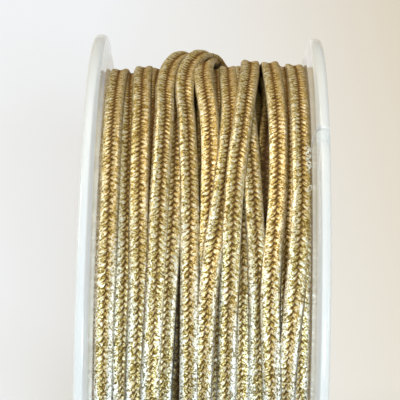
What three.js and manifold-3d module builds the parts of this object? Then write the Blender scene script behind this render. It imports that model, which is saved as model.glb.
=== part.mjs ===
// Soutache braid wound on a small plastic spool. Millimetres, +Z up.
// The spool's axis lies along X and it stands on its two rims, with the middle of the
// footprint at the origin. The front of the spool faces -Y.
import * as THREE from 'three';
import { mergeVertices } from 'three/addons/utils/BufferGeometryUtils.js';
import Module from 'manifold-3d';

// Driving sizes of the spool
const flangeRadius = 50;
const spoolWidth = 39;
const rimThickness = 2.2;
const rimHeight = 3.2;
const rimRound = 0.9;
const webThickness = 1.5;
const webInset = 0.55;
const webSlope = 2.6;
const bossRadius = 15;
const boreRadius = 8;
const barrelRadius = 12;
const flatDepth = 0.3;
const slitWidth = 0.5;
const slitDepth = 4.5;
const slitAngle = 71;

// Driving sizes of the braid and of its winding
const braidWidth = 3.1;
const braidThickness = 1.2;
const windingRadius = 44.6;
const footRadius = 42;
const grooveDepth = 0.35;
const edgeDepth = 0.85;
const pieceGap = 0.3;

// Fineness of the round shapes
const spoolSteps = 72;
const windingSteps = 80;
const roundSteps = 3;
const loopSteps = 26;

// The rims' inner sides, and the webs' inner sides, which stand a little closer together
const innerFace = spoolWidth / 2 - rimThickness;
const webFace = innerFace - webInset;
const axleHeight = flangeRadius - flatDepth;
const windingHalfWidth = webFace - pieceGap;

// Where the outer turns of the braid run. An angle is taken round the spool from the front,
// upwards; x is the middle of a turn at each angle of the heading row.
const turnAngles = [18, 38, 58, 78, 98, 118, 168, 228, 288, 338];
const turns = [
  { name: 'a', x: [-15.2, -14.9, -15.0, -15.1, -15.3, -15.4, -15.2, -15.4, -15.1, -15.3] },
  { name: 'b', x: [-12.5, -12.4, -12.5, -12.8, -13.1, -13.0, -12.4, -12.7, -12.3, -12.6] },
  { name: 'c', x: [-10.2, -9.9, -10.2, -10.6, -10.8, -10.4, -9.4, -9.9, -9.3, -10.0] },
  { name: 'e', x: [-7.8, -7.4, -7.1, -6.8, -7.2, -7.4, -6.2, -6.8, -6.4, -7.4] },
  { name: 'f', x: [-4.9, -4.9, -4.7, -3.9, -4.2, -4.3, -3.0, -3.8, -3.4, -4.6] },
  { name: 'g', x: [-2.0, -2.1, -2.4, -1.2, -1.0, -0.6, 0.1, -0.9, -0.3, -1.6] },
  { name: 'i', x: [0.5, 1.1, 1.0, 1.4, 2.0, 2.2, 3.0, 2.2, 2.9, 1.3] },
  { name: 'j', x: [3.9, 4.0, 4.4, 4.2, 4.4, 4.8, 5.9, 5.2, 6.0, 4.4] },
  { name: 'k', x: [6.9, 7.4, 7.6, 6.4, 7.2, 7.6, 8.9, 8.2, 9.1, 7.6] },
  { name: 'l', x: [10.6, 10.6, 11.2, 11.3, 11.0, 11.0, 12.0, 11.4, 12.2, 10.9] },
  { name: 'm', x: [13.6, 14.4, 15.0, 15.1, 15.1, 15.2, 15.3, 15.0, 15.3, 14.2] },
];

// How far each outer turn lies below the fullest turn at the same angles
const sinks = {
  a: [0.5, 0.5, 0.5, 0.4, 0.5, 0.6, 0.4, 0.5, 0.3, 0.4],
  b: [1.3, 1.3, 1.2, 1.0, 1.2, 1.2, 0.8, 1.2, 0.7, 1.2],
  c: [0.3, 0.3, 0.2, 0.1, 0.1, 0.1, 0.3, 0.1, 0.4, 0.2],
  e: [0.2, 0.1, 0.0, 0.1, 0.5, 0.9, 0.4, 0.0, 0.2, 0.3],
  f: [1.3, 1.4, 1.0, 0.3, 0.6, 0.9, 0.2, 0.5, 0.0, 0.9],
  g: [0.2, 0.1, 0.1, 0.7, 1.0, 1.0, 0.3, 0.2, 0.3, 0.2],
  i: [0.0, 0.0, 0.1, 0.3, 0.5, 0.7, 0.1, 0.4, 0.1, 0.0],
  j: [0.2, 0.2, 0.1, 0.0, -0.1, -0.3, 0.1, 0.0, 0.3, 0.2],
  k: [0.7, 0.4, 0.2, -0.3, -0.9, -1.3, -0.2, 0.2, 0.0, 0.5],
  l: [0.2, 0.1, -0.1, -0.4, -0.8, -1.2, -0.2, 0.1, -0.1, 0.1],
  m: [0.4, 0.3, 0.0, -0.3, -0.6, -0.8, -0.2, 0.2, -0.1, 0.2],
};

// Two loose turns that rise clear of the winding over its top and lean to the right.
// The angle is as above, x and radius place the middle of the braid, roll is its tilt in degrees.
const looseTurns = [
  [
    { angle: 74, x: -6.9, radius: 43.0, roll: 0 },
    { angle: 90, x: -6.9, radius: 44.0, roll: 0 },
    { angle: 100, x: -6.5, radius: 44.7, roll: 4 },
    { angle: 108, x: -5.7, radius: 45.6, roll: 8 },
    { angle: 114, x: -4.5, radius: 46.3, roll: 12 },
    { angle: 119, x: -3.1, radius: 46.5, roll: 14 },
    { angle: 126, x: -1.5, radius: 46.2, roll: 14 },
    { angle: 134, x: -0.5, radius: 45.2, roll: 8 },
    { angle: 144, x: -0.1, radius: 44.1, roll: 3 },
    { angle: 158, x: -0.1, radius: 43.0, roll: 0 },
  ],
  [
    { angle: 66, x: -3.2, radius: 43.0, roll: 0 },
    { angle: 82, x: -3.5, radius: 44.0, roll: 0 },
    { angle: 94, x: -3.6, radius: 44.7, roll: 4 },
    { angle: 102, x: -3.1, radius: 45.5, roll: 8 },
    { angle: 108, x: -2.0, radius: 46.1, roll: 12 },
    { angle: 113, x: -0.5, radius: 46.4, roll: 15 },
    { angle: 118, x: 1.2, radius: 46.3, roll: 18 },
    { angle: 124, x: 2.6, radius: 45.6, roll: 16 },
    { angle: 132, x: 3.4, radius: 44.6, roll: 8 },
    { angle: 144, x: 3.6, radius: 43.0, roll: 0 },
  ],
];

const wasm = await Module();
wasm.setup();

// A point of the winding, from its place along the axle, its radius and its angle in degrees
function pointAt(x, radius, angle) {
  const turned = THREE.MathUtils.degToRad(angle);
  return new THREE.Vector3(x, -radius * Math.cos(turned), axleHeight + radius * Math.sin(turned));
}

// The value of a turn's row at any angle, on a smooth closed curve through its entries
function aroundSpool(values, angle) {
  const count = turnAngles.length;
  const first = turnAngles[0];
  const wrapped = first + ((((angle - first) % 360) + 360) % 360);
  let step = count - 1;
  while (turnAngles[step] > wrapped) step -= 1;
  const start = turnAngles[step];
  const end = step + 1 < count ? turnAngles[step + 1] : first + 360;
  const before = turnAngles[(step + count - 1) % count] - (step === 0 ? 360 : 0);
  const after = turnAngles[(step + 2) % count] + (step + 2 >= count ? 360 : 0);
  const at = (offset) => values[(step + offset + count) % count];
  const slopeStart = (at(1) - at(-1)) / (end - before);
  const slopeEnd = (at(2) - at(0)) / (after - start);
  const span = end - start;
  const t = (wrapped - start) / span;
  const rise = 3 * t * t - 2 * t * t * t;
  const leave = (t * t * t - 2 * t * t + t) * span * slopeStart;
  const arrive = (t * t * t - t * t) * span * slopeEnd;
  return at(0) + (at(1) - at(0)) * rise + leave + arrive;
}

// The outline of the winding at one angle: each outer turn has two ridges and a groove
function windingOutline(angle) {
  const middles = turns.map((turn) => aroundSpool(turn.x, angle));
  const tops = turns.map((turn) => windingRadius - aroundSpool(sinks[turn.name], angle));
  const limit = windingHalfWidth;
  const outline = [{ x: -limit, radius: tops[0] - edgeDepth }];
  for (let i = 0; i < turns.length; i += 1) {
    const left = i === 0 ? -limit : (middles[i - 1] + middles[i]) / 2;
    const right = i === turns.length - 1 ? limit : (middles[i] + middles[i + 1]) / 2;
    const leftRidge = Math.min(braidWidth / 4, (middles[i] - left) / 2);
    const rightRidge = Math.min(braidWidth / 4, (right - middles[i]) / 2);
    outline.push({ x: middles[i] - leftRidge, radius: tops[i] });
    outline.push({ x: middles[i], radius: tops[i] - grooveDepth });
    outline.push({ x: middles[i] + rightRidge, radius: tops[i] });
    if (i < turns.length - 1) {
      outline.push({ x: right, radius: Math.min(tops[i], tops[i + 1]) - edgeDepth });
    }
  }
  outline.push({ x: limit, radius: tops[turns.length - 1] - edgeDepth });
  outline.push({ x: limit, radius: barrelRadius + pieceGap });
  outline.push({ x: -limit, radius: barrelRadius + pieceGap });
  return outline;
}

// A closed skin through rows of points; each row is a ring, and the rows close or are capped
function skin(rows, closed) {
  const across = rows[0].length;
  const positions = rows.flat().flatMap((point) => point.toArray());
  const faces = [];
  const last = closed ? rows.length : rows.length - 1;
  for (let row = 0; row < last; row += 1) {
    const next = (row + 1) % rows.length;
    for (let i = 0; i < across; i += 1) {
      const beside = (i + 1) % across;
      const corners = [row * across + i, row * across + beside, next * across + beside, next * across + i];
      faces.push(corners[0], corners[1], corners[2]);
      faces.push(corners[0], corners[2], corners[3]);
    }
  }
  if (!closed) {
    const end = (rows.length - 1) * across;
    for (let i = 1; i < across - 1; i += 1) {
      faces.push(0, i + 1, i);
      faces.push(end, end + i, end + i + 1);
    }
  }
  const geometry = new THREE.BufferGeometry();
  geometry.setAttribute('position', new THREE.Float32BufferAttribute(positions, 3));
  geometry.setIndex(faces);
  return geometry;
}

// A mesh geometry as a solid that can be joined and cut
function toSolid(geometry) {
  const bare = geometry.clone();
  bare.deleteAttribute('normal');
  bare.deleteAttribute('uv');
  const merged = mergeVertices(bare, 1e-4);
  const mesh = new wasm.Mesh({
    numProp: 3,
    vertProperties: new Float32Array(merged.attributes.position.array),
    triVerts: new Uint32Array(merged.index.array),
  });
  return new wasm.Manifold(mesh);
}

// A joined or cut solid as a mesh geometry again
function toGeometry(solid) {
  const mesh = solid.getMesh();
  const geometry = new THREE.BufferGeometry();
  geometry.setAttribute('position', new THREE.Float32BufferAttribute(mesh.vertProperties, 3));
  geometry.setIndex(Array.from(mesh.triVerts));
  geometry.computeVertexNormals();
  return geometry;
}

// The braid's own section: two round lobes side by side, as offsets across and up. Its foot
// reaches down into the winding, so that a risen turn and what lies under it are one solid.
function braidSection(footDrop) {
  const lobe = braidWidth / 4;
  const half = braidThickness / 2;
  const waist = half - grooveDepth;
  return [
    { across: -2 * lobe, up: 0 },
    { across: -1.6 * lobe, up: 0.8 * half },
    { across: -0.9 * lobe, up: half },
    { across: 0, up: waist },
    { across: 0.9 * lobe, up: half },
    { across: 1.6 * lobe, up: 0.8 * half },
    { across: 2 * lobe, up: 0 },
    { across: 1.2 * lobe, up: -footDrop },
    { across: -1.2 * lobe, up: -footDrop },
  ];
}

// One loose turn, as the braid's section carried along its route
function looseTurn(route) {
  const points = route.map((stop) => pointAt(stop.x, stop.radius, stop.angle));
  const curve = new THREE.CatmullRomCurve3(points, false, 'centripetal');
  const rows = [];
  for (let step = 0; step <= loopSteps; step += 1) {
    const along = (step / loopSteps) * (route.length - 1);
    const stop = Math.min(Math.floor(along), route.length - 2);
    const t = along / (route.length - 1);
    const roll = THREE.MathUtils.lerp(route[stop].roll, route[stop + 1].roll, along - stop);
    const place = curve.getPoint(t);
    const forward = curve.getTangent(t);
    const outward = new THREE.Vector3(0, place.y, place.z - axleHeight).normalize();
    const across = new THREE.Vector3().crossVectors(forward, outward).normalize();
    across.applyAxisAngle(forward, THREE.MathUtils.degToRad(roll));
    const up = new THREE.Vector3().crossVectors(across, forward);
    const footDrop = Math.hypot(place.y, place.z - axleHeight) - footRadius;
    rows.push(braidSection(footDrop).map((spot) => place.clone()
      .addScaledVector(across, spot.across)
      .addScaledVector(up, spot.up)));
  }
  return skin(rows, false);
}

// All the wound braid as one solid: the ridged ring with its loose turns joined to it
function windingGeometry() {
  const rows = [];
  for (let step = 0; step < windingSteps; step += 1) {
    const angle = (step / windingSteps) * 360;
    rows.push(windingOutline(angle).map((spot) => pointAt(spot.x, spot.radius, angle)));
  }
  let solid = toSolid(skin(rows, true));
  for (const route of looseTurns) {
    solid = solid.add(toSolid(looseTurn(route)));
  }
  return toGeometry(solid);
}

// A quarter round of a profile's corner, from one angle to another
function roundCorner(centreX, centreY, radius, from, to) {
  const points = [];
  for (let step = 0; step <= roundSteps; step += 1) {
    const angle = THREE.MathUtils.degToRad(THREE.MathUtils.lerp(from, to, step / roundSteps));
    points.push(new THREE.Vector2(centreX + radius * Math.cos(angle), centreY + radius * Math.sin(angle)));
  }
  return points;
}

// A flange about the Y axis, its rim's inner side at height 0 and its outer side up.
// The web's inner side stands lower and rises to the rim on a slope.
function flangeGeometry() {
  const rimCentre = flangeRadius - rimRound;
  const rimInside = flangeRadius - rimHeight;
  const webOutside = webThickness - webInset;
  const step = rimThickness - webOutside;
  const profile = [
    new THREE.Vector2(boreRadius, -webInset),
    new THREE.Vector2(rimCentre - webSlope, -webInset),
    ...roundCorner(rimCentre, rimRound, rimRound, -90, 0),
    ...roundCorner(rimCentre, rimThickness - rimRound, rimRound, 0, 90),
    new THREE.Vector2(rimInside, rimThickness),
    new THREE.Vector2(rimInside - step, webOutside),
    new THREE.Vector2(bossRadius + step, webOutside),
    new THREE.Vector2(bossRadius, rimThickness),
    new THREE.Vector2(boreRadius, rimThickness),
    new THREE.Vector2(boreRadius, -webInset),
  ];
  return new THREE.LatheGeometry(profile, spoolSteps);
}

// A box as a solid, placed by its middle and turned about the spool's axle
function cutter(sizeX, sizeY, sizeZ, middle, turned) {
  const box = new THREE.BoxGeometry(sizeX, sizeY, sizeZ);
  box.rotateX(-turned);
  box.translate(middle.x, middle.y, middle.z);
  return toSolid(box);
}

// One flange where it stands, with its resting flat, and the slit that holds the braid's end
function flange(side, hasSlit) {
  const geometry = flangeGeometry();
  geometry.rotateZ(-side * Math.PI / 2);
  geometry.translate(side * innerFace, 0, axleHeight);
  const below = cutter(spoolWidth * 2, spoolWidth, flatDepth * 10, new THREE.Vector3(0, 0, -flatDepth * 5), 0);
  let solid = toSolid(geometry).subtract(below);
  if (hasSlit) {
    const middle = pointAt(side * innerFace, flangeRadius, slitAngle);
    const turned = THREE.MathUtils.degToRad(slitAngle);
    solid = solid.subtract(cutter(spoolWidth / 2, slitDepth * 2, slitWidth, middle, turned));
  }
  return toGeometry(solid);
}

// The tube that the braid is wound on and that joins the two flanges
function barrelGeometry() {
  const half = webFace - pieceGap;
  const profile = [
    new THREE.Vector2(boreRadius, -half),
    new THREE.Vector2(barrelRadius, -half),
    new THREE.Vector2(barrelRadius, half),
    new THREE.Vector2(boreRadius, half),
    new THREE.Vector2(boreRadius, -half),
  ];
  const geometry = new THREE.LatheGeometry(profile, spoolSteps);
  geometry.rotateZ(-Math.PI / 2);
  geometry.translate(0, 0, axleHeight);
  return toGeometry(toSolid(geometry));
}

const milkyPlastic = new THREE.MeshStandardMaterial({ color: 0xe6e7e3, roughness: 0.35, metalness: 0 });
const metallicGold = new THREE.MeshStandardMaterial({ color: 0xb8974f, roughness: 0.4, metalness: 0.7 });

function piece(name, geometry, material) {
  const mesh = new THREE.Mesh(geometry, material.clone());
  mesh.name = name;
  return mesh;
}

const spool = new THREE.Group();
spool.add(piece('flange_left', flange(-1, false), milkyPlastic));
spool.add(piece('flange_right', flange(1, true), milkyPlastic));
spool.add(piece('barrel', barrelGeometry(), milkyPlastic));
spool.add(piece('braid_winding', windingGeometry(), metallicGold));

export default spool;
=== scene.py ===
import math
import bpy
import numpy as np
from mathutils import Matrix, Vector


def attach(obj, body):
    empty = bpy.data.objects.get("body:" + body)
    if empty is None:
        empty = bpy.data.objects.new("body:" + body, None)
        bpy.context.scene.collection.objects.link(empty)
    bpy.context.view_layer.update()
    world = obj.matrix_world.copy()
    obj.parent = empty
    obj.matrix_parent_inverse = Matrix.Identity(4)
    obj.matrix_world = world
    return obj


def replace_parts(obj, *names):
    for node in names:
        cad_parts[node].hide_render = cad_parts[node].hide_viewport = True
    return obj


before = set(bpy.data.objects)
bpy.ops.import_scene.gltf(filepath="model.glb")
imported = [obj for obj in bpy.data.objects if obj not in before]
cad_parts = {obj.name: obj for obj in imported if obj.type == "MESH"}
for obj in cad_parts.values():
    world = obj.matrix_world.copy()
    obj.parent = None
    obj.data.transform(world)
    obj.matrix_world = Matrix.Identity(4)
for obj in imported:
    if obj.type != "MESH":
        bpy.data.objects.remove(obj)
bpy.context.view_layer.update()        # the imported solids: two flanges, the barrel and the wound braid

# Soutache braid of metallic gold yarn, wound on a small spool of milky plastic.
# Lengths in the dictionaries are millimetres, apart from the studio's, and angles are degrees.
mm = 0.001
spool = {
    "radius": 50.0, "width": 39.0, "rim": 2.2, "rimHeight": 3.2, "rimRound": 0.9, "web": 1.5, "midWeb": 30.0,
    "inset": 0.55, "slope": 2.6, "slopeTurn": 12, "boss": 15.0, "bore": 8.0, "barrel": 12.0, "flat": 0.3,
    "chamfer": 0.3, "footRound": 1.2, "footShift": 0.3, "lipRound": 0.3, "creaseRound": 0.12,
    "creaseGap": 0.24, "draft": 20, "slitAngle": 69.3, "slitWidth": 0.5, "slitDepth": 4.5, "barrelGap": 0.3,
    "around": 240, "barrelAround": 120, "segments": 5, "ballSegments": (8, 7),
}
spool["innerFace"] = spool["width"] / 2 - spool["rim"]      # the rims' inner sides
spool["webFace"] = spool["innerFace"] - spool["inset"]      # the webs' inner sides, a little closer together
spool["axle"] = spool["radius"] - spool["flat"]
rng = np.random.default_rng(11)


# Camera first: fitted to both rims in the photo
def makeCamera():
    view = {
        "focalPixels": 2100, "framePixels": 400, "sensor": 36.0, "lookDown": 28.0,
        "tilt": -1.16, "distance": 368.3, "aboveAxle": 3.336, "sideShift": 0.33,
    }
    down, tilt, above = (math.radians(view[key]) for key in ("lookDown", "tilt", "aboveAxle"))
    forward = Vector((0, math.cos(down), -math.sin(down)))
    level = Vector((0, math.sin(down), math.cos(down)))
    side = Vector((1, 0, 0))
    right = side * math.cos(tilt) - level * math.sin(tilt)
    up = side * math.sin(tilt) + level * math.cos(tilt)
    across = math.cos(tilt) * view["sideShift"]
    rise = math.sin(tilt) * view["sideShift"] - view["distance"] * math.sin(above)
    away = view["distance"] * math.cos(above)
    middle = Vector((0, 0, spool["axle"]))
    place = (middle - right * across - up * rise - forward * away) * mm
    data = bpy.data.cameras.new("camera")
    data.sensor_width = view["sensor"]
    data.lens = view["focalPixels"] / view["framePixels"] * view["sensor"]
    camera = bpy.data.objects.new("camera", data)
    turned = Matrix((right, up, -forward)).transposed().to_4x4()
    camera.matrix_world = Matrix.Translation(place) @ turned
    bpy.context.collection.objects.link(camera)
    bpy.context.scene.camera = camera


makeCamera()
print("camera placed")


# Shader maths: a socket that can be used in plain sums
class Socket:
    def __init__(self, finish, output):
        self.finish = finish
        self.output = output

    def __add__(self, other):
        return self.finish.maths("ADD", self, other)

    def __radd__(self, other):
        return self.finish.maths("ADD", other, self)

    def __sub__(self, other):
        return self.finish.maths("SUBTRACT", self, other)

    def __rsub__(self, other):
        return self.finish.maths("SUBTRACT", other, self)

    def __mul__(self, other):
        return self.finish.maths("MULTIPLY", self, other)

    def __rmul__(self, other):
        return self.finish.maths("MULTIPLY", other, self)

    def __pow__(self, other):
        return self.finish.maths("POWER", self, other)

    def swing(self, gain):  # a noise about its middle value
        return (self - 0.5) * gain


class Finish:
    def __init__(self, name, **constants):
        self.material = bpy.data.materials.new(name)
        self.material.use_nodes = True
        self.tree = self.material.node_tree
        self.shader = self.tree.nodes["Principled BSDF"]
        for socket, value in constants.items():
            self.shader.inputs[socket.replace("_", " ")].default_value = value

    def join(self, target, value):
        if isinstance(value, Socket):
            self.tree.links.new(value.output, target)
        else:
            target.default_value = value

    def add(self, kind, settings=None, inputs=None, output=0):  # any node: its settings, then its sockets
        node = self.tree.nodes.new(kind)
        for key, value in (settings or {}).items():
            if key == "stops":
                ramp = node.color_ramp.elements
                while len(ramp) < len(value):
                    ramp.new(0.5)
                for element, (position, colour) in zip(ramp, value):
                    element.position = position
                    element.color = (*colour, 1)
            else:
                setattr(node, key, value)
        for key, value in (inputs or {}).items():
            self.join(node.inputs[key], value)
        return Socket(self, node.outputs[output])

    def maths(self, operation, first, second):
        return self.add("ShaderNodeMath", {"operation": operation}, {0: first, 1: second})

    def axis(self, vector, letter):
        return self.add("ShaderNodeSeparateXYZ", None, {"Vector": vector}, letter)

    def scaled(self, vector, factors):
        return self.add("ShaderNodeVectorMath", {"operation": "MULTIPLY"}, {0: vector, 1: factors})

    def clamp(self, value):
        return self.add("ShaderNodeClamp", None, {"Value": value})

    def mix(self, factor, first, second):  # its colour sockets are 6 and 7, and 2 comes out
        first, second = (value if isinstance(value, Socket) else (*value, 1) for value in (first, second))
        return self.add("ShaderNodeMix", {"data_type": "RGBA"}, {0: factor, 6: first, 7: second}, 2)

    def noise(self, place, scale, detail=2.0, rough=0.5, twist=0.0):
        inputs = {"Vector": place, "Scale": scale, "Detail": detail, "Roughness": rough, "Distortion": twist}
        return self.add("ShaderNodeTexNoise", None, inputs)

    def bump(self, height, distance):
        return self.add("ShaderNodeBump", None, {"Height": height, "Distance": distance})

    def drive(self, **links):
        for socket, value in links.items():
            self.join(self.shader.inputs[socket.replace("_", " ")], value)
        return self.material


# Foil yarn: brown in the groove, gold on the ridges, silver sheen outside them; "upper": toward the roll's
# top. Everything "upper" drives is painted light: the yarn is painted darker, browner and calmer up there,
# with more painted silver and glints lower down
goldLook = {
    "rough": 0.40, "metal": 0.75, "bend": 1.5, "coat": 0.10, "coatRough": 0.22, "coatBend": 1.6,
    "grazing": (0.66, 0.50, 0.28), "grooveRough": 0.25, "dullRough": 0.25, "grooveMetal": 0.3,
    "strands": (3.4, 2.2, 5.0), "fibreTwist": 0.6, "glintScale": 3600.0, "curlScale": 1500.0,
    "curlRough": 0.6, "curlTwist": 1.6, "cloudScale": 90.0, "cloud": 0.2, "patches": (0.08, 0.7, 0.0),
    "patchGain": 1.2,
    "level": 0.43, "fibreGain": 1.3, "glintGain": 2.3, "curlGain": 3.2, "crestGain": 0.12, "shineGain": 0.16,
    # the "upper" keys and calm: painted light by height, darker and browner gold with fewer painted glints
    # toward the top of the roll
    "upperFrom": 62.0, "upperOver": 29.0, "upperLevel": 0.07, "upperFibre": 0.8, "upperGroove": 0.15,
    "upperSeam": 0.3, "upperRelief": 0.5, "calm": 0.40,
    "edgeFrom": 0.30, "edgeRise": 0.25, "edgeSlope": 2.2, "edgeCurl": 1.6, "edgeSheen": 1.0, "edgeLoss": 0.82,
    "grooveWidth": 0.06, "grooveSpread": 0.20, "grooveTeeth": 0.30, "grooveShade": 0.8, "grooveSlope": 6.0,
    "grooveCurl": 3.0, "brownFibre": 3.0, "brownLevel": 0.4,
    "pitWidth": 0.6, "pitSlope": 8.0, "pitLevel": 0.4, "pitShade": 0.8,
    "seamShadow": 0.75, "seamFrom": 0.85, "seamTo": 1.03, "seamSlope": 11.0, "seamPatch": 0.33, "seamBreak": 4.0,
    "shadeSide": 0.42, "shadeSlope": 1.6,
    "bump": 0.17, "fibreRelief": 0.4, "glintRelief": 0.5, "curlRelief": 1.2,
    "golds": [(0.0, (0.11, 0.066, 0.012)), (0.35, (0.38, 0.26, 0.055)), (0.6, (0.66, 0.50, 0.165)),
              (0.82, (0.84, 0.73, 0.39)), (1.0, (0.97, 0.94, 0.80))],
    # the second ramp: colours of a painted reflection of the cool front light on the ridges' outer slopes
    "silverSheens": [(0.0, (0.20, 0.17, 0.10)), (0.35, (0.52, 0.49, 0.38)), (0.6, (0.79, 0.78, 0.71)),
                (1.0, (0.97, 0.98, 0.97))],
    "olive": (0.40, 0.31, 0.12), "groove": (0.19, 0.09, 0.018), "grooveLight": (0.55, 0.33, 0.08),
    # the near black and the brown after it: colours of painted shade, for the groove's low points and the
    # strands' right-hand side at the top
    "pitShadow": (0.05, 0.02, 0.006), "shade": (0.36, 0.22, 0.065),
}
deepLook = dict(  # the deep turns, seen through the webs: golden all over
    goldLook,
    golds=[(0.0, (0.12, 0.06, 0.01)), (0.5, (0.50, 0.33, 0.07)), (1.0, (0.92, 0.74, 0.30))],
    silverSheens=[(0.0, (0.12, 0.08, 0.02)), (0.5, (0.55, 0.40, 0.13)), (1.0, (0.92, 0.80, 0.42))],
)
shadowLook = dict(  # painted shade: a dark copy of the gold yarn for the turns at the bottom of the gaps
    goldLook,
    golds=[(0.0, (0.02, 0.01, 0.003)), (0.5, (0.10, 0.06, 0.015)), (1.0, (0.35, 0.26, 0.10))],
    silverSheens=[(0.0, (0.02, 0.015, 0.01)), (0.5, (0.10, 0.08, 0.04)), (1.0, (0.35, 0.30, 0.18))],
    olive=(0.10, 0.07, 0.02), grooveLight=(0.15, 0.08, 0.02), groove=(0.05, 0.02, 0.005),
)


def metallicYarn(name, look):
    finish = Finish(name, IOR=look["bend"], Coat_Roughness=look["coatRough"], Coat_IOR=look["coatBend"],
                    Specular_Tint=(*look["grazing"], 1))
    place = finish.add("ShaderNodeTexCoord", output="Object")
    yarn = finish.add("ShaderNodeAttribute", {"attribute_name": "yarn"}, output="Vector")
    weave = finish.add("ShaderNodeAttribute", {"attribute_name": "weave"}, output="Vector")
    crest = finish.axis(yarn, "X")
    shine = finish.axis(yarn, "Y")
    slope = finish.axis(weave, "Y")
    across = finish.maths("ABSOLUTE", slope, 0)
    fibre = finish.noise(finish.scaled(weave, look["strands"]), 1.0, detail=1.0, twist=look["fibreTwist"])
    glint = finish.noise(place, look["glintScale"], detail=1.0)
    curl = finish.noise(place, look["curlScale"], 1.0, look["curlRough"], look["curlTwist"])
    cloud = finish.noise(place, look["cloudScale"])
    patch = finish.noise(finish.scaled(weave, look["patches"]), 1.0, detail=1.0)
    # upper rises toward the roll's top; what it drives is painted light, not a change in the yarn: painted
    # shade and fewer glints up there, painted silver sheen lower down
    upper = finish.clamp((finish.axis(place, "Z") - look["upperFrom"] * mm) * (1 / look["upperOver"] / mm))
    calm = 1 - look["calm"] * upper
    # brightness: fibre texture and random tone per stitch, plus painted glints in the glint and curl speckle,
    # calmer toward the top, and a painted highlight on each stitch's crest
    bright = finish.clamp(look["level"] + look["upperLevel"] * upper
                          + fibre.swing(look["fibreGain"] + look["upperFibre"] * upper)
                          + (glint.swing(look["glintGain"]) + curl.swing(look["curlGain"])) * calm
                          + crest * look["crestGain"] + shine * look["shineGain"])
    gold = finish.add("ShaderNodeValToRGB", {"stops": look["golds"]}, {"Fac": bright})
    silver = finish.add("ShaderNodeValToRGB", {"stops": look["silverSheens"]}, {"Fac": bright})
    # painted reflection: the silver on the outer slopes stands in for the cool front light and fades toward
    # the top; the patches vary at random where it begins
    start = look["edgeFrom"] + look["edgeRise"] * upper + patch.swing(look["patchGain"])
    outer = finish.clamp((across - start) * look["edgeSlope"] + curl.swing(look["edgeCurl"]))
    toned = finish.mix(outer * (look["edgeSheen"] - look["edgeLoss"] * upper), gold, silver)
    toned = finish.mix(cloud * look["cloud"], toned, look["olive"])
    # the brown groove: partly the thread's own bronze, partly painted shade, made wider and darker toward the
    # top
    edge = look["grooveWidth"] + look["grooveSpread"] * upper + look["grooveTeeth"] * (1 - crest)
    groove = finish.clamp((edge - across) * look["grooveSlope"] + curl.swing(look["grooveCurl"]))
    # painted shade: near black in the groove's lowest parts, away from the stitch crests
    pitShadow = finish.clamp((edge * look["pitWidth"] - across) * look["pitSlope"] + (look["pitLevel"] - crest))
    light = finish.clamp(fibre.swing(look["brownFibre"]) + look["brownLevel"])
    brown = finish.mix(light, look["groove"], look["grooveLight"])
    colour = finish.mix(groove * (look["grooveShade"] + look["upperGroove"] * upper), toned, brown)
    # painted shade: toward the top, the right-hand half of each strand is painted brown, as if lit from the
    # left
    shaded = finish.clamp(slope * look["shadeSlope"]) * upper
    colour = finish.mix(shaded * look["shadeSide"], colour, look["shade"])
    # painted shade: dark lines along the strands' outer edges where neighbouring strands meet, fainter toward
    # the top and broken by the patches
    seamShadow = finish.clamp((across - look["seamFrom"]) * look["seamSlope"])
    seamShadow = seamShadow * finish.clamp((look["seamTo"] - across) * look["seamSlope"])
    seamShadow = seamShadow * (look["seamShadow"] - look["upperSeam"] * upper)
    seamShadow = seamShadow * finish.clamp((patch - look["seamPatch"]) * look["seamBreak"])
    colour = finish.mix(finish.maths("MAXIMUM", pitShadow * look["pitShade"], seamShadow), colour, look["pitShadow"])
    rough = look["rough"] + look["grooveRough"] * groove + look["dullRough"] * (1 - bright)
    metal = look["metal"] - look["grooveMetal"] * groove
    relief = fibre * look["fibreRelief"] + glint * look["glintRelief"] + curl * look["curlRelief"]
    relief = relief * (1 - look["upperRelief"] * upper)
    return finish.drive(Base_Color=colour, Roughness=rough, Metallic=metal, Coat_Weight=bright * look["coat"],
                        Normal=finish.bump(relief, look["bump"] * mm))


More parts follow.
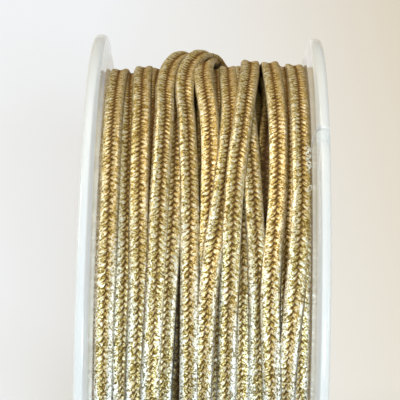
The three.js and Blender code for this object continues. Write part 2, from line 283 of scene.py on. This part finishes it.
def milkyPlastic():  # clear webs and milky rims; a web seen edge-on is solid, with a painted reflection of the brown braid
    look = {
        "base": (0.80, 0.83, 0.85), "dull": (0.74, 0.77, 0.76), "braidReflection": (0.30, 0.19, 0.08),
        "through": 0.1, "bend": 1.45, "shine": 0.5, "rough": 0.05, "scuffRough": 0.03, "haze": 0.11,
        "cloudHaze": 0.06, "rimHaze": 0.26, "rimFrom": 46.0, "rimOver": 0.9, "rimClear": 0.92,
        "cloudScale": 60.0, "scuffScale": 900.0, "bump": 0.05, "facing": 0.5, "edgeOn": 5,
        "lineSpread": 0.4, "hazeSpread": 0.5,
    }
    finish = Finish("milkyPlastic", Transmission_Weight=look["through"], IOR=look["bend"],
                    Specular_IOR_Level=look["shine"])
    place = finish.add("ShaderNodeTexCoord", output="Object")
    cloud = finish.noise(place, look["cloudScale"], detail=3.0)
    scuff = finish.noise(place, look["scuffScale"])
    ends = {0: finish.scaled(place, (0, 1, 1)), 1: (0, 0, spool["axle"] * mm)}
    reach = finish.add("ShaderNodeVectorMath", {"operation": "DISTANCE"}, ends, "Value")
    rim = finish.clamp((reach - look["rimFrom"] * mm) * (1 / look["rimOver"] / mm))
    grazing = finish.add("ShaderNodeLayerWeight", None, {"Blend": look["facing"]}, "Facing") ** look["edgeOn"]
    colour = finish.mix(cloud, look["base"], look["dull"])
    # painted reflection: the brown of the braid mixed in where the surface is seen edge-on, less on the rims
    colour = finish.mix(grazing ** look["lineSpread"] * (1 - look["rimClear"] * rim), colour, look["braidReflection"])
    rough = look["rough"] + look["scuffRough"] * scuff
    haze = look["haze"] + look["rimHaze"] * rim + look["cloudHaze"] * cloud
    haze = finish.clamp(haze + (1 - haze) * grazing ** look["hazeSpread"])
    return finish.drive(Base_Color=colour, Roughness=rough, Alpha=haze,
                        Normal=finish.bump(cloud, look["bump"] * mm))


goldYarn = metallicYarn("goldYarn", goldLook)
shadowYarn = metallicYarn("shadowYarn", shadowLook)
deepYarn = metallicYarn("deepYarn", deepLook)
silverThread = Finish("silverThread", Base_Color=(0.80, 0.79, 0.70, 1), Metallic=0.6, Roughness=0.35)
plastic = milkyPlastic()
print("finishes made")


# Meshes from arrays of rows: each row is a ring of points, and the rows close on each other
def gridFaces(rowCount, across, start=0):
    row = np.arange(rowCount)[:, None]
    column = np.arange(across)[None, :]
    following = (row + 1) % rowCount
    beside = (column + 1) % across
    quads = np.stack([row * across + column, row * across + beside,
                      following * across + beside, following * across + column], axis=-1)
    return quads.reshape(-1, 4) + start


def meshPiece(name, grids, material, marks=None):
    points = np.concatenate([grid.reshape(-1, 3) for grid in grids])
    faces = []
    start = 0
    for grid in grids:
        faces.append(gridFaces(grid.shape[0], grid.shape[1], start))
        start += grid.shape[0] * grid.shape[1]
    faces = np.concatenate(faces)
    mesh = bpy.data.meshes.new(name)
    mesh.vertices.add(len(points))
    mesh.vertices.foreach_set("co", (points * mm).ravel())
    mesh.loops.add(faces.size)
    mesh.loops.foreach_set("vertex_index", faces.ravel())
    mesh.polygons.add(len(faces))
    mesh.polygons.foreach_set("loop_start", np.arange(0, faces.size, 4))
    mesh.polygons.foreach_set("use_smooth", np.ones(len(faces), bool))
    for mark, values in (marks or {}).items():  # "yarn": crest and shine; "weave": row, across, chance
        attribute = mesh.attributes.new(mark, "FLOAT_VECTOR", "POINT")
        values = np.concatenate([value.reshape(-1, 3) for value in values])
        attribute.data.foreach_set("vector", values.ravel())
    mesh.update()
    mesh.validate()
    mesh.materials.append(material)
    piece = bpy.data.objects.new(name, mesh)
    bpy.context.collection.objects.link(piece)
    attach(piece, "root")
    return piece


def cylinderPoint(x, radius, angle):  # angle in degrees round the axle, from the front upwards
    turned = np.radians(angle)
    height = spool["axle"] + radius * np.sin(turned)
    return np.stack(np.broadcast_arrays(x, -radius * np.cos(turned), height), -1)


# The spool: flanges with a round rim and a boss, and the barrel between them
def arcPoints(x, y, radius, start, end, count):
    return [(x + radius * math.cos(math.radians(a)), y + radius * math.sin(math.radians(a)))
            for a in np.linspace(start, end, count)]


def flangeProfile():  # (radius, height above the rim's inner side), once round the section
    s = spool
    n = s["segments"]
    low, high = -s["inset"], s["web"] - s["inset"]
    ball = s["rimRound"]
    edge = s["radius"] - ball
    inside = s["radius"] - s["rimHeight"]
    foot = s["footRound"]
    lip = s["lipRound"]
    crease = s["creaseRound"]
    inner, outer = s["ballSegments"]
    slope, draft = s["slopeTurn"], s["draft"]
    profile = [(s["bore"] + s["chamfer"], low), (s["boss"], low), (s["midWeb"], low)]
    profile += arcPoints(edge - s["slope"] - s["footShift"], low + foot, foot, -90, slope - 90, n)
    profile += arcPoints(edge, ball, ball, -90 - slope, 0, inner)
    profile += arcPoints(edge, s["rim"] - ball, ball, 0, 90, outer)
    profile += arcPoints(inside + lip, s["rim"] - lip, lip, 90, 180 - draft, n)
    profile += arcPoints(inside - s["creaseGap"], high + crease, crease, -draft, -90, n)
    profile += [(s["midWeb"], high)]
    profile += arcPoints(s["boss"] + s["creaseGap"], high + crease, crease, -90, draft - 180, n)
    profile += arcPoints(s["boss"] - lip, s["rim"] - lip, lip, draft, 90, n)
    profile += [(s["bore"] + s["chamfer"], s["rim"]), (s["bore"], s["rim"] - s["chamfer"]),
                (s["bore"], low + s["chamfer"])]
    return np.array(profile)


def spun(profile, side, base, count):  # a profile turned about the axle
    angle = np.arange(count)[:, None] * 360 / count
    x = side * (base + profile[None, :, 1])
    grid = cylinderPoint(x + 0 * angle, profile[None, :, 0] + 0 * angle, angle + 0 * x)
    return grid if side > 0 else grid[:, ::-1]


def cutSlit(piece, side):  # the fine slit in the rim
    s = spool
    middle = cylinderPoint(side * s["innerFace"], s["radius"], s["slitAngle"]) * mm
    bpy.ops.mesh.primitive_cube_add(size=1, location=middle, rotation=(-math.radians(s["slitAngle"]), 0, 0))
    cutter = bpy.context.object
    cutter.scale = (s["width"] / 2 * mm, s["slitDepth"] * 2 * mm, s["slitWidth"] * mm)
    bpy.context.view_layer.update()
    cut = piece.modifiers.new("slit", "BOOLEAN")
    cut.operation = "DIFFERENCE"
    cut.solver = "EXACT"
    cut.object = cutter
    bpy.context.view_layer.objects.active = piece
    bpy.ops.object.modifier_apply(modifier=cut.name)
    bpy.data.objects.remove(cutter)


def makeSpool():
    s = spool
    for side, name in ((-1, "flange_left"), (1, "flange_right")):
        grid = spun(flangeProfile(), side, s["innerFace"], s["around"])
        grid[..., 2] = np.maximum(grid[..., 2], 0)
        piece = meshPiece(name.replace("_", "") + "Moulding", [grid], plastic)
        if side > 0:
            cutSlit(piece, side)
        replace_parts(piece, name)
    half = s["webFace"] - s["barrelGap"]
    corner = s["bore"] + s["chamfer"]
    wall = np.array([(s["bore"], s["chamfer"] - half), (corner, -half), (s["barrel"], -half),
                     (s["barrel"], half), (corner, half), (s["bore"], half - s["chamfer"])])
    barrel = meshPiece("barrelTube", [spun(wall, 1, 0, s["barrelAround"])], plastic)
    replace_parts(barrel, "barrel")


makeSpool()
print("spool made")


# The braid: each outer turn is laid on what is already wound, then knitted as two rows of stitches
braid = {
    "width": 3.3, "thick": 1.2, "pitch": 1.02, "lean": 1.0, "waist": 0.5, "ridge": 0.6, "ridgeSide": 2.2,
    "bed": 42.0, "bedRise": 0.35, "bedAngle": 118, "limit": 16.7, "topLimit": 15.05, "samples": 720,
    "gridStep": 0.1, "wander": 0.10, "touch": (0.12, 0.92), "restShare": 72, "settle": 0.12, "stiff": 2.6,
    "steepest": 24, "cover": 0.96,
}
turnAngles = [18, 38, 58, 78, 98, 118, 168, 228, 288, 338]  # where the tables below say each turn's middle
underTurns = {  # the turns below those, evenly spaced but for the gap near the right
    "count": 11, "spacing": 3.12, "stray": 0.35, "wander": 0.25, "limit": 15.1, "wedgeX": 8.8,
    "wedgeAngle": 91, "wedgeReach": 16, "wedgeOpen": 1.3, "wedgeWide": 3,
}
midTurns = {  # lower turns that show in the gaps
    "edge": [-14.2, -14.5, -14.9, -15.1, -15.1, -15.1, -15.1, -14.9, -14.6, -14.2],
    "behindC": [-9.0, -8.8, -8.7, -8.6, -8.5, -8.1, -6.3, -7.2, -8.2, -8.8],
    "behindE": [-6.1, -5.7, -5.0, -4.9, -4.9, -4.7, -3.2, -5.4, -5.6, -6.0],
    "underG": [1.9, 2.1, 1.8, 1.8, 1.7, 1.3, 1.2, 1.5, 3.4, 2.4],
    "besideJ": [5.9, 5.9, 5.6, 3.6, 4.6, 5.2, 5.6, 7.6, 6.6, 6.2],
    "besideL": [12.7, 12.6, 13.0, 13.4, 13.3, 13.2, 13.6, 13.4, 13.5, 12.9],
    "rightEdge": [15.1, 15.1, 15.1, 15.1, 15.1, 15.1, 15.0, 15.1, 15.0, 15.1],
}
topTurns = {  # the turns on the outside, in the order they are laid
    "b": [-12.4, -12.3, -12.4, -12.7, -13.1, -13.1, -12.2, -12.5, -12.6, -12.5],
    "g": [-0.2, 0.4, 0.9, 0.6, -0.6, 0.3, 1.6, 1.2, -0.4, -0.4],
    "k": [8.6, 8.4, 7.6, 6.8, 6.2, 6.4, 8.0, 9.0, 8.9, 8.7],
    "a": [-15.3, -14.9, -14.95, -15.1, -15.2, -15.2, -15.2, -15.4, -15.3, -15.3],
    "c": [-10.3, -9.9, -10.2, -10.5, -10.9, -11.0, -9.2, -9.6, -9.9, -10.3],
    "m": [13.0, 14.2, 15.1, 15.1, 15.1, 15.1, 15.2, 15.2, 14.9, 13.6],
    "l": [11.2, 10.4, 11.2, 11.4, 11.0, 10.9, 12.1, 12.0, 11.8, 11.6],
    "i": [0.3, 0.9, 2.6, 3.8, 3.6, 3.7, 6.3, 3.0, 1.6, 0.6],
    "j": [3.9, 4.0, 4.6, 5.95, 7.1, 7.6, 9.1, 6.0, 5.0, 4.2],
    "f": [-1.9, -2.1, -2.4, -3.1, -3.5, 1.2, 3.4, -0.4, -2.6, -2.0],
    "e": [-7.9, -7.5, -7.1, -6.75, -6.6, -3.1, -0.3, -3.6, -6.3, -7.7],
}
looseStops = {  # where two turns rise clear: angle, middle, radius, tilt with the right side down
    "e": [(90, -6.7, 44.2, 0), (100, -6.5, 44.8, 4), (108, -5.7, 45.6, 8), (114, -4.5, 46.35, 12),
          (119, -3.1, 46.65, 14), (126, -1.5, 46.2, 14), (134, -0.5, 45.5, 8), (144, -0.1, 45.1, 3)],
    "f": [(84, -3.5, 44.2, 0), (94, -3.6, 44.8, 4), (102, -3.1, 45.5, 8), (108, -2.0, 46.35, 12),
          (113, -0.8, 46.75, 15), (118, 0.7, 46.6, 18), (124, 1.9, 45.7, 16), (132, 2.8, 45.1, 8)],
}
crestHeights = {  # radius of each turn's outside at the top of the roll, as the photo's skyline shows it
    "edge": 43.95, "behindC": 44.4, "besideL": 45.2, "rightEdge": 45.0, "underG": 44.6, "besideJ": 43.6,
    "a": 44.1, "b": 43.6, "c": 44.65, "i": 44.95, "g": 46.2, "k": 44.9, "j": 46.0, "l": 45.85, "m": 45.5,
}
crestPlace = {"angle": 113, "reach": 34, "drop": 0.06, "level": 0.8}
looseFade = 9  # degrees over which a loose turn leaves its laid place
sampleAngles = np.arange(braid["samples"]) * 360 / braid["samples"]
gridX = np.arange(-braid["limit"], braid["limit"] + braid["gridStep"], braid["gridStep"])


def smoothCurve(knots, values, at):  # a smooth curve through knots of any spacing
    knots = np.asarray(knots, float)
    values = np.asarray(values, float)
    slopes = np.gradient(values, knots)
    step = np.clip(np.searchsorted(knots, at, side="right") - 1, 0, len(knots) - 2)
    span = knots[step + 1] - knots[step]
    t = (at - knots[step]) / span
    rise = 3 * t**2 - 2 * t**3
    leave = (t**3 - 2 * t**2 + t) * span * slopes[step]
    arrive = (t**3 - t**2) * span * slopes[step + 1]
    return values[step] * (1 - rise) + values[step + 1] * rise + leave + arrive


def closedCurve(values):
    knots = np.array(turnAngles, float)
    return smoothCurve(np.concatenate([knots - 360, knots, knots + 360]), np.tile(values, 3), sampleAngles)


def softened(values, degrees):  # smoothed round the closed circle
    wave = np.fft.rfftfreq(len(values), 1 / len(values))
    fade = np.exp(-0.5 * (wave * math.radians(degrees)) ** 2)
    return np.fft.irfft(np.fft.rfft(values) * fade, len(values))


def wandering(amount):
    turned = np.radians(sampleAngles)
    wave = 0
    for k in (1, 2, 4):
        wave = wave + amount / k * rng.normal() * np.sin((k + 2) * turned + rng.uniform(0, 2 * math.pi))
    return wave


def lobeHeight(u):  # top of the bare braid over its width, u from -1 to 1: two ridges and a wide groove
    ridge = braid["ridge"]
    beyond = np.clip((np.abs(u) - ridge) / (1 - ridge), 0, 1) ** braid["ridgeSide"]
    outer = np.clip(1 - beyond, 0, 1) ** 0.5
    valley = (0.5 + 0.5 * np.cos(math.pi * np.clip(np.abs(u) / ridge, 0, 1))) * (1 - braid["waist"])
    return braid["thick"] / 2 * (outer - valley)


def layTurn(heights, middle, name=None):
    b = braid
    half = b["width"] / 2
    near, far = b["touch"]
    offset = gridX[None, :] - middle[:, None]
    sides = []
    for low, high in ((-far, -near), (near, far)):
        under = np.where((offset > low * half) & (offset < high * half), heights, np.nan)
        sides.append(softened(np.nanpercentile(under, b["restShare"], axis=1), b["stiff"]))
    left, right = sides
    radius = (left + right) / 2 + b["thick"] / 2 - b["settle"]
    tilt = np.clip(np.degrees(np.arctan2(left - right, half)), -b["steepest"], b["steepest"])
    if name in crestHeights:
        c = crestPlace
        close = np.exp(-((sampleAngles - c["angle"]) / c["reach"]) ** 2)
        radius = radius + (crestHeights[name] - b["thick"] / 2 - c["drop"] - radius) * close
        tilt = tilt * (1 - c["level"] * close)
    if name in looseStops:
        stops = np.array(looseStops[name])
        first, last = stops[0, 0], stops[-1, 0]
        at = np.clip(sampleAngles, first, last)
        fade = np.clip(np.minimum(sampleAngles - first, last - sampleAngles) / looseFade, 0, 1)
        fade = fade * fade * (3 - 2 * fade)
        middle = middle + (smoothCurve(stops[:, 0], stops[:, 1], at) - middle) * fade
        radius = radius + (smoothCurve(stops[:, 0], stops[:, 2], at) - radius) * fade
        tilt = tilt + (smoothCurve(stops[:, 0], stops[:, 3], at) - tilt) * fade
        offset = gridX[None, :] - middle[:, None]
    u = offset / half
    top = radius[:, None] + lobeHeight(np.clip(u, -1, 1)) - offset * np.tan(np.radians(tilt))[:, None]
    heights[:] = np.where(np.abs(u) < b["cover"], np.maximum(heights, top), heights)
    return middle, radius, tilt


def periodic(values, at):  # a laid turn's value at any angle
    return np.interp(at % 360, np.append(sampleAngles, 360), np.append(values, values[0]))


stitch = {  # "plain" is for turns that hardly show; "first" and "crowding" place the columns of points
    "relief": 0.105, "rows": 4, "across": 6, "plainRows": 2, "plainAcross": 4, "first": 0.06, "crowding": 0.9,
    "under": (0.7, 0, -0.7), "underDepth": 0.8, "strength": 1.4, "strengthLoss": 1.25,
    "underStrength": 0.2, "change": 0.14, "slip": 0.34, "roundness": 0.7, "fullness": 0.7, "spread": 0.6,
    "sink": 0.6, "apart": 37.3,
}


def stitchedTurn(path, number, fine):
    b = braid
    k = stitch
    middle, radius, tilt = path
    length = 2 * math.pi * radius.mean()
    stitches = round(length / b["pitch"])
    rows = k["rows"] if fine else k["plainRows"]
    side = np.linspace(k["first"], 1, k["across"] if fine else k["plainAcross"]) ** k["crowding"]
    topU = np.concatenate([-side[::-1], [0], side])
    u = np.concatenate([topU, k["under"]])
    onTop = np.arange(len(u)) < len(topU)
    height = np.where(onTop, lobeHeight(u), -k["underDepth"] * b["thick"] / 2)
    height[[0, len(topU) - 1]] = 0
    section = np.stack([u * b["width"] / 2, height], -1)
    along = np.roll(section, -1, 0) - np.roll(section, 1, 0)
    normal = np.stack([-along[:, 1], along[:, 0]], -1)
    normal /= np.linalg.norm(normal, axis=1, keepdims=True)
    strength = np.where(onTop, k["strength"] - k["strengthLoss"] * np.abs(u), k["underStrength"])
    shift = b["lean"] * (1 - np.abs(u)) + b["pitch"] / 2 * np.clip(u / k["change"] + 0.5, 0, 1)
    row = np.arange(stitches * rows)[:, None]
    wave = np.sin(np.pi * (row % rows) / rows)
    chance = rng.uniform(0, 1, (stitches, 2, 3))  # each stitch's own fullness, slip and shine
    own = chance[row // rows, (u > 0).astype(int)[None, :]]
    fullness, slip, shine = own[..., 0], (own[..., 1] - 0.5) * k["slip"] * wave, own[..., 2]
    angle = ((row / rows + slip) * length / stitches + shift[None, :]) / length * 360
    crest = wave ** k["roundness"] + 0 * fullness
    relief = (crest * (k["fullness"] + k["spread"] * fullness) - k["sink"]) * k["relief"] * strength[None, :]
    lift = section[None, :, 1] + relief * normal[None, :, 1]
    across = section[None, :, 0] + relief * normal[None, :, 0]
    roll = np.radians(periodic(tilt, angle))
    core = periodic(radius, angle)
    slope = np.gradient(middle, sampleAngles[1] * math.pi / 180 * radius.mean())
    slope = np.arctan(periodic(slope, angle))
    sideways = across * np.cos(roll) + lift * np.sin(roll)
    outward = lift * np.cos(roll) - across * np.sin(roll)
    x = periodic(middle, angle) + sideways * np.cos(slope)
    turned = angle - np.degrees(sideways * np.sin(slope) / core)
    flat = np.zeros_like(crest)
    weave = np.stack([row / rows + number * k["apart"] + flat, np.where(onTop, u, 1) + flat, shine], -1)
    return cylinderPoint(x, core + outward, turned), np.stack([crest, shine, flat], -1), weave


threads = {
    "turn": "m", "count": 9, "from": 55, "to": 71, "sizes": (0.6, 1.2), "wide": 0.36, "long": 0.48,
    "wave": 0.12, "lift": 0.18, "clear": 0.47, "inside": 0.42, "limit": 16.6, "thick": 0.055, "samples": 36,
    "sides": 5,
}


def looseThreads(path):  # small silver loops that stand out of the yarn at the right-hand edge
    t = threads
    middle, radius = path[:2]
    turn = np.linspace(0, 2 * math.pi, t["samples"], endpoint=False)
    sides = np.linspace(0, 2 * math.pi, t["sides"], endpoint=False)[None, :, None]
    grids = []
    for _ in range(t["count"]):
        place = rng.uniform(t["from"], t["to"])
        size = rng.uniform(*t["sizes"])
        first, second, third = rng.uniform(0, 2 * math.pi, 3)
        x = periodic(middle, place) + braid["width"] / 2 - t["inside"]
        x = x + size * t["wide"] * np.cos(turn + first) + t["wave"] * np.sin(3 * turn + second)
        core = periodic(radius, place) + t["clear"] + t["lift"] * np.sin(2 * turn + third)
        angle = place + np.degrees(size * t["long"] * np.sin(turn) / core)
        centre = cylinderPoint(np.minimum(x, t["limit"]), core, angle)
        ahead = np.roll(centre, -1, 0) - np.roll(centre, 1, 0)
        ahead /= np.linalg.norm(ahead, axis=1, keepdims=True)
        side = np.cross(ahead, centre - [0, 0, spool["axle"]])
        side /= np.linalg.norm(side, axis=1, keepdims=True)
        up = np.cross(side, ahead)
        ring = np.cos(sides) * side[:, None] + np.sin(sides) * up[:, None]
        grids.append(centre[:, None] + t["thick"] * ring)
    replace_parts(meshPiece("looseThreads", grids, silverThread.material), "braid_winding")


def makeBraid():
    b = braid
    w = underTurns
    rise = b["bedRise"] * (1 + np.cos(np.radians(sampleAngles - b["bedAngle"])))
    heights = b["bed"] + rise[:, None] * gridX[None, :] / b["limit"]
    under = []
    for i in range(w["count"]):
        middle = (i - (w["count"] - 1) / 2) * w["spacing"] + w["stray"] * rng.normal()
        middle = middle + wandering(w["wander"])
        near = np.exp(-((sampleAngles - w["wedgeAngle"]) / w["wedgeReach"]) ** 2)
        pushed = w["wedgeOpen"] * np.exp(-((middle - w["wedgeX"]) / w["wedgeWide"]) ** 2)
        middle = middle + np.sign(middle - w["wedgeX"]) * near * pushed
        under.append(layTurn(heights, np.clip(middle, -w["limit"], w["limit"])))
    paths = {}
    for name, row in (midTurns | topTurns).items():
        middle = closedCurve(row) + wandering(b["wander"])
        if name in topTurns:
            middle = np.clip(middle, -b["topLimit"], b["topLimit"])
        paths[name] = layTurn(heights, middle, name)
    mid = [paths[name] for name in midTurns]
    top = [paths[name] for name in topTurns if name not in looseStops]
    loose = [paths[name] for name in topTurns if name in looseStops]
    groups = [  # name, turns, finish, and whether they are knitted finely
        ("turnsUnder", under[1:-1], shadowYarn, False),
        ("turnsUnderEdges", [under[0], under[-1]], goldYarn, False),
        ("turnsLower", mid[:4], goldYarn, True),
        ("turnsLowerRight", mid[4:], goldYarn, True),
        ("turnsOuterA", top[:3], goldYarn, True),
        ("turnsOuterB", top[3:6], goldYarn, True),
        ("turnsOuterC", top[6:], goldYarn, True),
        ("turnsLoose", loose, goldYarn, True),
    ]
    number = 0
    for name, turns, finish, fine in groups:
        made = []
        for path in turns:
            made.append(stitchedTurn(path, number, fine))
            number += 1
        grids, marks, weaves = zip(*made)
        piece = meshPiece(name, grids, finish, {"yarn": marks, "weave": weaves})
        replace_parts(piece, "braid_winding")
        print(name, len(piece.data.polygons) * 2, "triangles")
    looseThreads(paths[threads["turn"]])


deepTurns = {
    "inside": 0.35, "first": 0.6, "past": 0.2, "steps": 4, "bulge": 0.35, "around": 120, "crest": 0.5,
    "ringFrom": 0.1, "ringTo": 0.7,
}


def makeDeepWinding():  # the turns under the outer ones: their edges show at the two sides
    s = spool
    d = deepTurns
    step = braid["thick"]
    radii = np.arange(s["barrel"] + d["first"], braid["bed"] + d["past"], step / d["steps"])
    bulge = d["bulge"] * (np.abs(np.sin((radii - radii[0]) / step * math.pi)) - 1)
    right = np.stack([radii, s["webFace"] - d["inside"] + bulge], -1)
    left = right[::-1] * (1, -1)
    grid = spun(np.concatenate([right[::-1], left[::-1]])[::-1], 1, 0, d["around"])
    marks = np.full_like(grid, d["crest"])
    radius = np.hypot(grid[..., 1], grid[..., 2] - s["axle"])
    ring = np.abs(np.sin((radius - radii[0]) / step * math.pi))
    across = d["ringFrom"] + (d["ringTo"] - d["ringFrom"]) * ring
    weave = np.stack([grid[..., 1] / braid["pitch"], across, grid[..., 2] / braid["pitch"]], -1)
    piece = meshPiece("turnsDeep", [grid], deepYarn, {"yarn": [marks], "weave": [weave]})
    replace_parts(piece, "braid_winding")


makeDeepWinding()
makeBraid()
print("braid laid")


# Studio, in metres: a plain pale floor, cool light from the front and right, warm from the left and above
studio = {
    "floor": (0.76, 0.815, 0.94), "floorWarm": (0.61, 0.54, 0.44), "floorSize": 6, "floorDrop": 0.0002,
    "floorRough": 0.9, "warmFrom": 0.3, "warmSlope": 9.0, "room": 0.30, "roomColour": (1.0, 0.97, 0.93),
    "aim": (0, 0, 0.05),
}
lights = {  # place, size, power and colour
    "window": ((0.25, -1.1, 0.52), 0.45, 13.5, (0.69, 0.87, 1.0)),
    "right": ((1.0, -0.55, 0.40), 0.45, 4, (0.80, 0.91, 1.0)),
    "left": ((-1.0, 0.1, 0.65), 0.45, 6.5, (1.0, 0.94, 0.80)),
    "overhead": ((-0.35, 0.3, 1.25), 1.0, 9.0, (1.0, 0.86, 0.62)),
}


def softLight(name, place, size, power, colour):
    data = bpy.data.lights.new(name, "AREA")
    data.shape = "DISK"
    data.size = size
    data.energy = power
    data.color = colour
    light = bpy.data.objects.new(name, data)
    light.location = place
    aim = Vector(studio["aim"]) - Vector(place)
    light.rotation_euler = aim.to_track_quat("-Z", "Y").to_euler()
    bpy.context.collection.objects.link(light)


def makeStudio():
    look = studio
    bpy.ops.mesh.primitive_plane_add(size=look["floorSize"], location=(0, 0, -look["floorDrop"]))
    floor = bpy.context.object
    floor.name = "floor"
    finish = Finish("paleFloor", Roughness=look["floorRough"])
    place = finish.add("ShaderNodeTexCoord", output="Object")
    warm = finish.clamp(finish.axis(place, "X") * look["warmSlope"] + look["warmFrom"])
    floor.data.materials.append(finish.drive(Base_Color=finish.mix(warm, look["floor"], look["floorWarm"])))
    for name, settings in lights.items():
        softLight(name, *settings)
    world = bpy.data.worlds.new("room")
    world.use_nodes = True
    background = world.node_tree.nodes["Background"]
    background.inputs["Color"].default_value = (*look["roomColour"], 1)
    background.inputs["Strength"].default_value = look["room"]
    bpy.context.scene.world = world
    bpy.context.scene.view_settings.view_transform = "Standard"


makeStudio()
print("studio lit")
